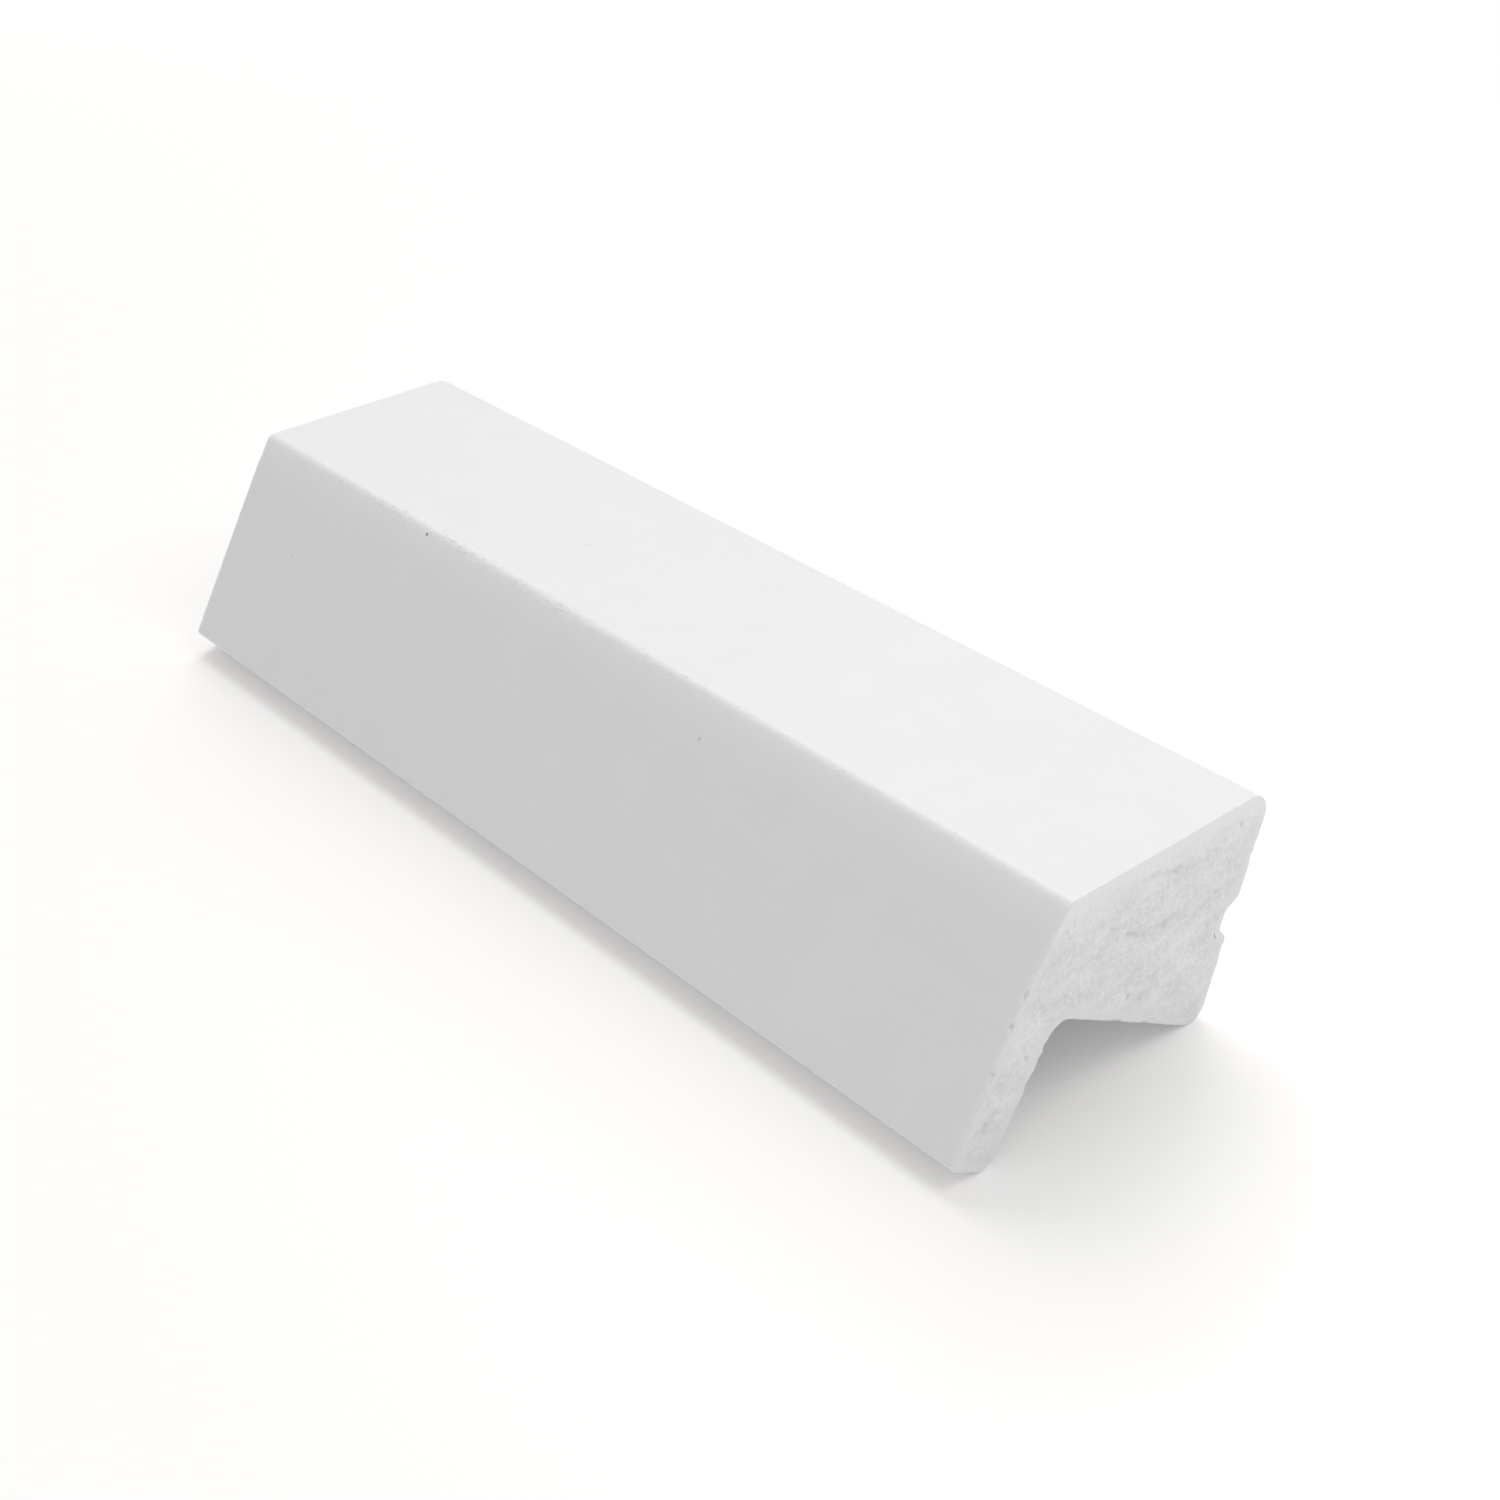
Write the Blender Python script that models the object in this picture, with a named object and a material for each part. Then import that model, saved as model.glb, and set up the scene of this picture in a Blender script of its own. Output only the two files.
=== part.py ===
"""A sample length of rebated trim in white cellular PVC: a foam core inside its dense skin.

The section is drawn as the trim is fitted: depth runs from the front face to the back, height
runs upwards, and both are zero at the nose, the sharp edge where the front face meets the
sloping top. The length is then laid along X and turned about it until the trim stands on its
two lower edges, the tip of the leg and the back edge of the body.
"""

import math

import bpy
import numpy as np
from mathutils import Matrix

# Overall sizes, in metres and radians
LENGTH = 0.164
FRONT_HEIGHT = 0.033
TOP_DEPTH = 0.0306
TOP_SLOPE = math.radians(30)
BACK_LEAN = math.radians(13)

# The rebate under the body and the leg in front of it
REBATE_DROP = 0.0136
LEG_ROOT = 0.0075
LEG_TIP = 0.0068

# The groove along the back
GROOVE_RISE = 0.0036
GROOVE_OPENING = 0.0052
GROOVE_DEPTH = 0.0018
GROOVE_RAMP = 0.00165
GROOVE_LIP_SLOPE = 0.0011

# The skin and the joint between it and the core
SKIN = 0.0011
JOINT = 0.0003

# Edge radii
NOSE_RADIUS = 0.0013
BACK_TOP_RADIUS = 0.0029
BACK_FOOT_RADIUS = 0.0025
REBATE_RADIUS = 0.0025
TIP_BACK_RADIUS = 0.00175
TIP_FRONT_RADIUS = 0.00075
GROOVE_RADIUS = 0.0003
GROOVE_LIP_RADIUS = 0.0009

ARC_STEPS = 8
LARGEST_ARC_SHARE = 0.49  # of the shorter side beside it

TIP_CORNER = 8
FOOT_CORNER = 6

SKIN_COLOUR = (0.83, 0.83, 0.82, 1)
CORE_COLOUR = (0.72, 0.72, 0.71, 1)


def clear_scene():
    for obj in list(bpy.data.objects):
        bpy.data.objects.remove(obj, do_unlink=True)


def section_corners():
    """The section's sharp corners as (depth, height), from the nose over the top and down the back, and the
    radius of each."""
    top_rise = TOP_DEPTH * math.tan(TOP_SLOPE)

    def on_back(height):
        return np.array([TOP_DEPTH + (top_rise - height) * math.tan(BACK_LEAN), height])

    down_back = np.array([math.sin(BACK_LEAN), -math.cos(BACK_LEAN)])
    into_body = np.array([-math.cos(BACK_LEAN), -math.sin(BACK_LEAN)])
    groove_top = on_back(GROOVE_RISE)
    groove_foot = on_back(GROOVE_RISE - GROOVE_OPENING)
    corners = [
        (np.zeros(2), NOSE_RADIUS),
        (on_back(top_rise), BACK_TOP_RADIUS),
        (groove_top, GROOVE_RADIUS),
        (groove_top + GROOVE_DEPTH * into_body + GROOVE_RAMP * down_back, GROOVE_RADIUS),
        (groove_foot + GROOVE_DEPTH * into_body - GROOVE_LIP_SLOPE * down_back, GROOVE_RADIUS),
        (groove_foot, GROOVE_LIP_RADIUS),
        (on_back(-REBATE_DROP), BACK_FOOT_RADIUS),
        (np.array([LEG_ROOT, -REBATE_DROP]), REBATE_RADIUS),
        (np.array([LEG_TIP, -FRONT_HEIGHT]), TIP_BACK_RADIUS),
        (np.array([0, -FRONT_HEIGHT]), TIP_FRONT_RADIUS),
    ]
    points, radii = zip(*corners)
    return np.array(points), np.array(radii)


def turn_between(arriving, leaving):
    """The sine of the turn from each arriving side to the leaving one, positive to the left."""
    return arriving[:, 0] * leaving[:, 1] - arriving[:, 1] * leaving[:, 0]


def sides_at(points):
    """Unit vectors along the side that arrives at each corner and along the side that leaves it, and the
    length of the shorter of the two."""
    arriving = points - np.roll(points, 1, axis=0)
    leaving = np.roll(arriving, -1, axis=0)
    lengths = np.linalg.norm(arriving, axis=1), np.linalg.norm(leaving, axis=1)
    return arriving / lengths[0][:, None], leaving / lengths[1][:, None], np.minimum(*lengths)


def inset(points, radii, distance):
    """The same corners with every side moved into the material by a distance. The outline runs clockwise, so
    the material lies to the right of each side. An outer radius shrinks by the distance and an inner one
    grows."""
    arriving, leaving, _ = sides_at(points)
    rightward = np.array([[0, -1], [1, 0]])
    inward = arriving @ rightward, leaving @ rightward
    shift = (inward[0] + inward[1]) / (1 + np.sum(inward[0] * inward[1], axis=1))[:, None]
    growth = np.where(turn_between(arriving, leaving) < 0, -distance, distance)
    return points + distance * shift, np.maximum(radii + growth, 0)


def arcs(points, radii):
    """The centre and radius of the arc at each corner, the unit vector from the corner to the centre, and
    half the angle between the corner's sides. A radius is limited by the shorter side beside it."""
    arriving, leaving, shorter = sides_at(points)
    to_centre = leaving - arriving
    to_centre /= np.linalg.norm(to_centre, axis=1)[:, None]
    half_angle = np.arccos(np.clip(np.sum(leaving * to_centre, axis=1), -1, 1))
    radii = np.minimum(radii, LARGEST_ARC_SHARE * shorter * np.tan(half_angle))
    return points + to_centre * (radii / np.sin(half_angle))[:, None], radii, to_centre, half_angle


def rounded(points, radii):
    """The closed outline with each corner replaced by its arc, which turns through what is left of a half
    turn."""
    outline = []
    arriving, leaving, _ = sides_at(points)
    turn = np.sign(turn_between(arriving, leaving))
    for corner, (centre, radius, to_centre, half_angle) in enumerate(zip(*arcs(points, radii))):
        if radius == 0:
            outline.append(centre[None])
            continue
        sweep = (math.pi / 2 - half_angle) * np.linspace(-1, 1, ARC_STEPS + 1)
        angle = math.atan2(-to_centre[1], -to_centre[0]) + turn[corner] * sweep
        outline.append(centre + radius * np.column_stack([np.cos(angle), np.sin(angle)]))
    return np.vstack(outline)


def standing_turn(points, radii):
    """How far the line that touches the leg's tip and the back foot from below climbs towards the back."""
    centres, arc_radii, _, _ = arcs(points, radii)
    span = centres[FOOT_CORNER] - centres[TIP_CORNER]
    climb = math.atan2(span[1], span[0])
    return climb + math.asin((arc_radii[TIP_CORNER] - arc_radii[FOOT_CORNER]) / math.hypot(*span))


def standing_place(outline, turn):
    """The matrix that turns the fitted section until it stands, with its box centred on Y and its lowest
    point at zero."""
    turned = Matrix.Rotation(-turn, 4, "X")
    stood = np.array([turned @ Matrix.Translation((0, *point)).to_translation() for point in outline])
    low, high = stood.min(axis=0), stood.max(axis=0)
    return Matrix.Translation((0, -(low[1] + high[1]) / 2, -low[2])) @ turned


def material(name, colour, roughness):
    made = bpy.data.materials.new(name)
    made.use_nodes = True
    shader = made.node_tree.nodes["Principled BSDF"]
    shader.inputs["Base Color"].default_value = colour
    shader.inputs["Roughness"].default_value = roughness
    shader.inputs["Metallic"].default_value = 0
    return made


def extrusion(name, outlines, finish, stand, collection):
    """A flat curve extruded along the trim. A second outline is a hole, and runs the other way round."""
    curve = bpy.data.curves.new(name, "CURVE")
    curve.dimensions = "2D"
    curve.fill_mode = "BOTH"
    curve.extrude = LENGTH / 2
    for number, outline in enumerate(outlines):
        path = outline if number == 0 else outline[::-1]
        flat, weight = np.zeros(len(path)), np.ones(len(path))
        spline = curve.splines.new("POLY")
        spline.points.add(len(path) - 1)
        spline.points.foreach_set("co", np.column_stack([path, flat, weight]).ravel())
        spline.use_cyclic_u = True
    obj = bpy.data.objects.new(name, curve)
    obj.rotation_euler = (math.pi / 2, 0, math.pi / 2)
    obj.parent = stand
    obj.data.materials.append(finish)
    collection.objects.link(obj)
    return obj


def main():
    clear_scene()
    collection = bpy.data.collections.new("rebated_trim_length")
    bpy.context.scene.collection.children.link(collection)

    points, radii = section_corners()
    outside = rounded(points, radii)
    inside_skin = rounded(*inset(points, radii, SKIN))
    core_outline = rounded(*inset(points, radii, SKIN + JOINT))

    stand = bpy.data.objects.new("stand", None)
    stand.matrix_world = standing_place(outside, standing_turn(points, radii))
    collection.objects.link(stand)

    extrusion("outer_skin", [outside, inside_skin], material("skin", SKIN_COLOUR, 0.45), stand, collection)
    extrusion("foam_core", [core_outline], material("foam", CORE_COLOUR, 0.9), stand, collection)


main()
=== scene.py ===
"""The looks of a sample length of rebated trim in white cellular PVC: the smooth extruded skin, the foam core
with its sawn ends, and the stage they stand on.

The section is worked out as complex numbers. As the trim is fitted, the real part is the depth behind the
front face and the imaginary part is the height, and both are zero at the nose, the edge between the front
face and the sloping top. The section's outline is a function of one number, way, which counts its corners
clockwise from the nose. Standing on its leg and its back foot, the same section has y as its real part and z
as its imaginary part.
"""

import math

import bpy
import numpy as np
from bpy.props import FloatProperty, FloatVectorProperty, PointerProperty
from mathutils import Matrix, Vector


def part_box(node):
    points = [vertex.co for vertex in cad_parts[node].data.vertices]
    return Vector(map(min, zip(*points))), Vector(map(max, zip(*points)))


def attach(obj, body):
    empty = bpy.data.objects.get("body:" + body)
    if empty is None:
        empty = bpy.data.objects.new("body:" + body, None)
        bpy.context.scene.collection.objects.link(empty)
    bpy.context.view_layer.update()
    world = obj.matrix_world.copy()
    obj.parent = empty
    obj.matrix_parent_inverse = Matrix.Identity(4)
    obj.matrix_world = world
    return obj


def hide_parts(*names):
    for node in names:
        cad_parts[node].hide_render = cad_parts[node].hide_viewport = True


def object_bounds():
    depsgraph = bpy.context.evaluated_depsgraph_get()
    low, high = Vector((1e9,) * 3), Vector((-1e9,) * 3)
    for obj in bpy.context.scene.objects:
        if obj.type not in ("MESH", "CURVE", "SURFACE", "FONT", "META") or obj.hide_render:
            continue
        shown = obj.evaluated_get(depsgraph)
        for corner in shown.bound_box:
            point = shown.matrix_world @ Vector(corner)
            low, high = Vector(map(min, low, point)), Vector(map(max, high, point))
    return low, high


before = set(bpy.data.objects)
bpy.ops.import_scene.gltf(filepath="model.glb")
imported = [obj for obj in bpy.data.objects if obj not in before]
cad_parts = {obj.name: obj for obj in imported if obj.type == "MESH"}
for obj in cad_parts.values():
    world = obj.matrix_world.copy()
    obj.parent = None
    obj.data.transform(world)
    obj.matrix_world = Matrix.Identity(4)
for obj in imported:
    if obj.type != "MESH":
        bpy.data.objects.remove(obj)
CAD_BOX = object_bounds()

bl_info = {
    "name": "Cellular Trim Length",
    "version": (1, 0, 0),
    "blender": (4, 5, 0),
    "location": "View3D > Sidebar > Trim",
    "description": "Builds a sawn length of rebated cellular trim with its skin, its foam core and its stage",
    "category": "Add Mesh",
}

MM = 0.001

# The section's corners, counted clockwise from the nose
NOSE, BACK_TOP, GROOVE_TOP, RAMP_FOOT, GROOVE_BED = range(5)
GROOVE_FOOT, BACK_FOOT, REBATE, TIP_BACK, TIP_FRONT = range(5, 10)
CORNERS = 10

LARGEST_ARC_SHARE = 0.49  # of the shorter side beside it
SMALLEST_RADIUS = 0.06 * MM
MIDDLE_OF_ARC = 0.25
END_OF_ARC = 0.5
OUTLINE_SAMPLES = 4001
STANDING_SAMPLES = 2000

LATTICE = 64  # cells along each side of a noise before it repeats
CREASE = math.radians(65)  # a sharper fold than this is shaded as an edge


def length(name, description, millimetres):
    return FloatProperty(
        name=name, description=description, default=millimetres * MM, min=0, precision=5, unit="LENGTH"
    )


def angle(name, description, degrees):
    return FloatProperty(name=name, description=description, default=math.radians(degrees), unit="ROTATION")


def share(name, description, default):
    return FloatProperty(name=name, description=description, default=default, min=0, max=1, subtype="FACTOR")


def power(name, description, watts):
    return FloatProperty(name=name, description=description, default=watts, min=0, unit="POWER")


def offset(name, description, millimetres):
    return FloatVectorProperty(
        name=name, description=description, default=[value * MM for value in millimetres], size=3,
        subtype="TRANSLATION", unit="LENGTH",
    )


def colour(name, description, default):
    return FloatVectorProperty(
        name=name, description=description, default=default, size=3, min=0, max=1, subtype="COLOR"
    )


class TrimSection(bpy.types.PropertyGroup):
    """The sizes of the section, as the trim is fitted"""

    front_height: length("Front height", "Height of the front face, from the nose to the leg's tip", 33)
    top_depth: length("Top depth", "Depth of the sloping top, measured level", 30.6)
    top_slope: angle("Top slope", "Climb of the top towards the back", 30)
    back_lean: angle("Back lean", "Lean of the back face from upright", 13)
    rebate_drop: length("Rebate drop", "Height from the rebate's roof up to the nose", 13.6)
    leg_root: length("Leg root", "Thickness of the leg where it leaves the body", 7.5)
    leg_tip: length("Leg tip", "Thickness of the leg at its tip", 6.8)
    groove_rise: length("Groove rise", "Height of the groove's upper edge above the nose", 3.6)
    groove_opening: length("Groove opening", "Height of the groove at the back face", 5.2)
    groove_depth: length("Groove depth", "How far the groove cuts into the body", 1.8)
    groove_ramp: length("Groove ramp", "How far the groove's upper side slopes down", 1.65)
    lip_slope: length("Lip slope", "How far the groove's lower side slopes down to its lip", 1.1)
    wall: length("Skin thickness", "Thickness of the dense skin", 1.1)
    nose_radius: length("Nose radius", "Rounding of the nose", 1.3)
    back_top_radius: length("Back top radius", "Rounding of the top's rear edge", 2.9)
    groove_radius: length("Groove radius", "Rounding of the groove's edges", 0.3)
    lip_radius: length("Lip radius", "Rounding of the groove's lower lip", 0.9)
    back_foot_radius: length("Back foot radius", "Rounding of the body's lower rear edge", 2.5)
    rebate_radius: length("Rebate radius", "Rounding inside the rebate", 2.5)
    tip_back_radius: length("Tip back radius", "Rounding of the leg's tip towards the rebate", 1.75)
    tip_front_radius: length("Tip front radius", "Rounding of the leg's tip towards the front", 0.75)


class TrimSkin(bpy.types.PropertyGroup):
    """The finish of the extruded skin"""

    colour: colour("Skin colour", "Colour of the moulded skin", (0.768, 0.769, 0.773))
    roughness: share("Skin roughness", "Roughness of the moulded skin", 0.5)
    spacing: length("Mesh spacing", "Distance between the skin's points round the section", 0.36)
    waviness: length("Waviness", "Depth of the broad hollows left by cooling", 0.012)
    brow_fall: length("Brow fall", "How far the nose lies back from the plane of the front face", 0.35)
    # The brow's reach also sets how far down the front the painted highlight along the nose fades
    brow_reach: length("Brow reach", "How far down the front face the brow fades", 2.6)
    nick_depth: length("Nick depth", "Depth of the knocks along the nose", 0.16)
    cut_edge: length("Cut edge", "Width of the broken arris round each sawn end", 0.14)
    chipping: length("Chipping", "Size of the largest chips out of the sawn edges", 0.3)


class TrimFoam(bpy.types.PropertyGroup):
    """The finish of the sawn foam"""

    colour: colour("Foam colour", "Colour of the sawn foam", (0.774, 0.778, 0.785))
    roughness: share("Foam roughness", "Roughness of the sawn foam", 0.85)
    spacing: length("Mesh spacing", "Distance between the foam's points on a sawn end", 0.19)
    cell: length("Cell size", "Pitch of the larger cells opened by the saw", 0.95)
    cell_depth: length("Cell depth", "Depth of the opened cells", 0.2)
    grain_depth: length("Grain depth", "Depth of the fine grain between the cells", 0.1)
    unevenness: length("Unevenness", "Depth of the ripples that the saw left", 0.12)
    drift: length("Drift", "How far the saw drifted inwards beside the front face", 0.5)
    drift_reach: length("Drift reach", "How far in from the cut the skin follows the saw's drift", 5)
    tear_depth: length("Tear depth", "Depth of the long tears across a sawn end", 0.4)
    # The band under the top is painted paler, partly for its denser foam and partly as painted light on the
    # upper part of a sawn end
    dense_and_painted_light_start: length("Dense band start", "Depth under the top where the pale foam starts to fade", 1.5)
    dense_and_painted_light_end: length("Dense band end", "Depth under the top where the pale foam ends", 6)
    bond: length("Bond", "Clearance between the foam and the inside of the skin", 0.005)


class TrimStage(bpy.types.PropertyGroup):
    """The floor, the lights and the camera, placed from the middle of the trim's box"""

    floor_colour: colour("Floor colour", "Colour of the floor", (0.93, 0.92, 0.91))
    floor_width: length("Floor width", "Width of the square floor", 8000)
    floor_glow: share("Floor glow", "Strength of the light table under the floor", 0.08)
    sky_colour: colour("Sky colour", "Colour of the light from all round", (1, 1, 1))
    sky_strength: share("Sky strength", "Strength of the light from all round", 0.64)
    overhead: power("Overhead power", "Power of the large soft light above, behind and to the left", 41)
    overhead_size: length("Overhead size", "Width of the large soft light", 2100)
    overhead_place: offset("Overhead place", "Place of the large soft light", (-1500, 1500, 2120))
    near_end: power("Near end power", "Power of the small soft light above the near sawn end", 0.2)
    near_end_size: length("Near end size", "Width of the small soft light", 200)
    near_end_place: offset("Near end place", "Place of the small soft light", (200, 100, 300))
    camera_aim: offset("Camera aim", "Place of the point that the camera looks at", (10.9, 7.2, -5.9))
    camera_turn: angle("Camera turn", "Direction of the camera from the point it looks at, from X", -39.7)
    camera_height: angle("Camera height", "Angle that the camera looks down", 34.02)
    camera_roll: angle("Camera roll", "Turn of the camera about its own line of sight", -3.07)
    camera_distance: length("Camera distance", "Distance from the camera to the point it looks at", 312.5)
    camera_lens: FloatProperty(
        name="Lens", description="Focal length of the camera", default=55.16, min=1, unit="CAMERA"
    )


def unit(values):
    """Each complex number divided by its own size."""
    return values / abs(values)


def section_corners(section):
    """The ten sharp corners of the section, clockwise from the nose, and the rounding of each. A point
    on the back face lies below the back top corner along a line that leans backwards, and the groove is
    cut square to it, with a ramp above and a lip below."""
    back_top = section.top_depth * (1 + 1j * math.tan(section.top_slope))
    down_back = -1j * np.exp(1j * section.back_lean)
    into_body = -np.exp(1j * section.back_lean)

    def on_back(height):
        return back_top + down_back * (back_top.imag - height) / math.cos(section.back_lean)

    groove_top = on_back(section.groove_rise)
    groove_foot = on_back(section.groove_rise - section.groove_opening)
    ramp_foot = groove_top + section.groove_depth * into_body + section.groove_ramp * down_back
    groove_bed = groove_foot + section.groove_depth * into_body - section.lip_slope * down_back
    corners = {
        NOSE: (0, section.nose_radius),
        BACK_TOP: (back_top, section.back_top_radius),
        GROOVE_TOP: (groove_top, section.groove_radius),
        RAMP_FOOT: (ramp_foot, section.groove_radius),
        GROOVE_BED: (groove_bed, section.groove_radius),
        GROOVE_FOOT: (groove_foot, section.lip_radius),
        BACK_FOOT: (on_back(-section.rebate_drop), section.back_foot_radius),
        REBATE: (section.leg_root - 1j * section.rebate_drop, section.rebate_radius),
        TIP_BACK: (section.leg_tip - 1j * section.front_height, section.tip_back_radius),
        TIP_FRONT: (-1j * section.front_height, section.tip_front_radius),
    }
    points, radii = zip(*(corners[number] for number in range(CORNERS)))
    return np.array(points, complex), np.array(radii)


def inset(points, radii, distance):
    """The corners with every side moved into the material by a distance. A corner moves along the sum
    of its two sides' inward normals, divided by one plus their scalar product. An outer radius shrinks,
    though not to nothing, and an inner one grows."""
    leaving = unit(np.roll(points, -1) - points)
    arriving = np.roll(leaving, 1)
    growth = np.where((leaving * arriving.conj()).imag < 0, -distance, distance)
    shift = -1j * (leaving + arriving) / (1 + (leaving * arriving.conj()).real)
    return points + distance * shift, np.maximum(radii + growth, SMALLEST_RADIUS)


class Outline:
    """A closed outline with rounded corners, as a function of way. The whole part of way is the
    corner's number. The first half of what is left runs round that corner's arc, and the second half
    runs straight to the next."""

    def __init__(self, points, radii):
        sides = np.roll(points, -1) - points
        leaving = unit(sides)
        arriving = np.roll(leaving, 1)
        shorter = np.minimum(abs(sides), abs(np.roll(sides, 1)))
        to_centre = unit(leaving - arriving)
        half_angle = np.arccos(np.clip((leaving * to_centre.conj()).real, -1, 1))
        self.radii = np.minimum(radii, LARGEST_ARC_SHARE * shorter * np.tan(half_angle))
        self.centres = points + to_centre * self.radii / np.sin(half_angle)
        reach = self.radii / np.tan(half_angle)
        self.arc_starts = points - arriving * reach
        self.arc_ends = points + leaving * reach
        self.arriving = arriving
        self.turns = np.angle(leaving / arriving)

    def at(self, way):
        """The point and the outward normal at each way: a radius turned about the arc's centre, then
        the line from the arc's end to the next arc's start."""
        corner = np.floor(way).astype(int)
        part = 2 * (way - corner)
        corner = corner % CORNERS
        following = (corner + 1) % CORNERS
        turned = np.exp(1j * self.turns[corner] * np.minimum(part, 1))
        on_arc = self.centres[corner] + (self.arc_starts - self.centres)[corner] * turned
        gap = self.arc_starts[following] - self.arc_ends[corner]
        on_side = self.arc_ends[corner] + gap * (part - 1)
        return np.where(part < 1, on_arc, on_side), 1j * self.arriving[corner] * turned

    def run(self, first, last):
        """Many ways from first to last, and the length of the outline up to each."""
        ways = np.linspace(first, last, OUTLINE_SAMPLES)
        return ways, np.concatenate([[0], np.cumsum(abs(np.diff(self.at(ways)[0])))])

    def evenly(self, first, last, count):
        """Ways from first to last whose points lie equal lengths apart along the outline."""
        ways, run = self.run(first, last)
        return np.interp(np.linspace(0, run[-1], count), run, ways)

    def between(self, first, last):
        """The length of the outline from one way to another."""
        return self.run(first, last)[1][-1]


class Stand:
    """Where the section stands: turned until the line under the leg's tip and the back foot is level,
    then moved to the middle of the frame's box and down to its floor."""

    def __init__(self, outline):
        span = outline.centres[BACK_FOOT] - outline.centres[TIP_BACK]
        taper = outline.radii[TIP_BACK] - outline.radii[BACK_FOOT]
        self.turned = np.exp(-1j * (np.angle(span) + math.asin(taper / abs(span))))
        around = outline.at(outline.evenly(0, CORNERS, STANDING_SAMPLES))[0] * self.turned
        low, high = CAD_BOX
        middle = (around.real.max() + around.real.min()) / 2
        self.shift = (low.y + high.y) / 2 - middle + 1j * (low.z - around.imag.min())

    def places(self, x, points):
        """Points of the section at x, as an array whose last axis is x, y and z, held inside the
        frame's box."""
        stood = points * self.turned + self.shift
        x, y, z = np.broadcast_arrays(x, stood.real, stood.imag)
        return np.clip(np.stack([x, y, z], axis=-1), *CAD_BOX)


def soft_noise(places, size, seed):
    """Smooth noise from 0 to 1: random values at the points of a cubic lattice of the given pitch,
    blended along each axis by the curve 3t² - 2t³. Size is one pitch, or one for each axis."""
    lattice = np.random.default_rng(seed).random((LATTICE,) * 3)
    scaled = places / size
    cell = np.floor(scaled).astype(int)
    ease = scaled - cell
    ease = ease * ease * (3 - 2 * ease)
    total = 0
    for corner in np.ndindex(2, 2, 2):
        weight = np.prod(np.where(corner, ease, 1 - ease), axis=-1)
        total = total + weight * lattice[tuple(np.moveaxis((cell + corner) % LATTICE, -1, 0))]
    return total


def cell_distance(places, size, seed):
    """Distance from each place to the nearest of the points scattered one to each cube of a lattice, as
    a share of the cube's side."""
    scatter = np.random.default_rng(seed).random((LATTICE, LATTICE, LATTICE, 3))
    scaled = places / size
    cube = np.floor(scaled).astype(int)
    nearest = np.full(places.shape[:-1], np.inf)
    for step in np.ndindex(3, 3, 3):
        neighbour = cube + step - 1
        point = neighbour + scatter[tuple(np.moveaxis(neighbour % LATTICE, -1, 0))]
        nearest = np.minimum(nearest, np.linalg.norm(scaled - point, axis=-1))
    return nearest


def rise(values, low, high):
    """0 below low, 1 above high, and 3t² - 2t³ between."""
    part = np.clip((values - low) / (high - low), 0, 1)
    return part * part * (3 - 2 * part)


def bell(values, width):
    """1 at zero, falling as the exponential of minus the square of the value over the width."""
    return np.exp(-((values / width) ** 2))


def under_top(points, section, foam):
    """1 just under the sloping top, where the foam is dense and is painted paler, partly for that density and
    partly as painted light on the upper part of a sawn end, fading to 0 lower down. The top's plane passes
    through the nose, so turning a point back by the slope makes its height the distance from that plane."""
    distance = -(points * np.exp(-1j * section.top_slope)).imag
    return 1 - rise(distance, foam.dense_and_painted_light_start, foam.dense_and_painted_light_end)


# Long tears on a sawn end, as fitted, in millimetres: two ends, the bow between them, the width, and
# the depth as a share of the deepest
TEARS = (
    (11.4 + 2.9j, 16.1 + 5.2j, 0.3, 0.5, 0.7),
    (15.6 + 4.7j, 21.5 + 7.3j, -0.3, 0.6, 0.7),
    (11.6 - 3.9j, 17.9 - 2.8j, 0.5, 0.55, 0.7),
    (17.4 - 2.9j, 23.2 - 0.2j, 0.3, 0.8, 0.8),
    (20.6 - 1.3j, 24.4 + 0.7j, 0.4, 1.4, 0.7),
    (26.7 + 3.0j, 31.0 + 5.6j, -0.3, 0.5, 0.6),
    (12.5 - 0.4j, 18.5 + 2.3j, 0.9, 0.6, 0.5),
    (21.4 - 9.5j, 24.1 - 13.0j, 0.0, 0.3, 0.5),
    (2.1 - 30.4j, 3.0 - 24.8j, -0.2, 0.9, 0.8),
)

# Single pits on a sawn end: the middle, the radius and the depth, in millimetres
PITS = (
    (10.5 - 2.5j, 0.45, 0.5),
    (12.6 - 9.2j, 0.38, 0.35),
    (23.2 - 7.2j, 0.45, 0.4),
    (23.3 - 8.0j, 0.4, 0.35),
    (19.8 - 10.4j, 0.4, 0.25),
    (27.5 + 12.2j, 0.32, 0.3),
    (2.9 - 23.1j, 0.5, 0.35),
    (5.0 - 18.8j, 0.35, 0.3),
)

# Bites out of the arris between the front face and the near sawn end: the middle, the radius and the
# size, in millimetres
BITES = (
    (-11.4j, 0.75, 0.5),
    (-15.1j, 0.35, 0.5),
    (-21.1j, 0.3, 0.45),
)

FAR_END_SHIFT = 1.4  # how far the far end's tears and pits lie from the near end's, in millimetres


def torn(points, end, foam):
    """Depth of the tears and pits of one end. A tear is a bell across a bowed line, deepest in its
    middle, and a pit is a bell round its middle. The far end has the same kinds of mark in other
    places."""
    random = np.random.default_rng(11)
    moves = random.normal(0, FAR_END_SHIFT, (len(TEARS) + len(PITS), 2)) @ (1, 1j) * (end < 0)
    depth = np.zeros(points.shape)
    for (start, stop, bow, width, part), move in zip(TEARS, moves):
        line = stop - start
        local = (points / MM - start - move) / unit(line)
        along = np.clip(local.real / abs(line), 0, 1)
        away = abs(local - along * abs(line) - 1j * bow * 4 * along * (1 - along))
        depth += part * foam.tear_depth * bell(away, width) * np.sqrt(np.sin(math.pi * along))
    for (middle, radius, deep), move in zip(PITS, moves[len(TEARS):]):
        depth += deep * MM * bell(abs(points / MM - middle - move), radius)
    return depth


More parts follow.
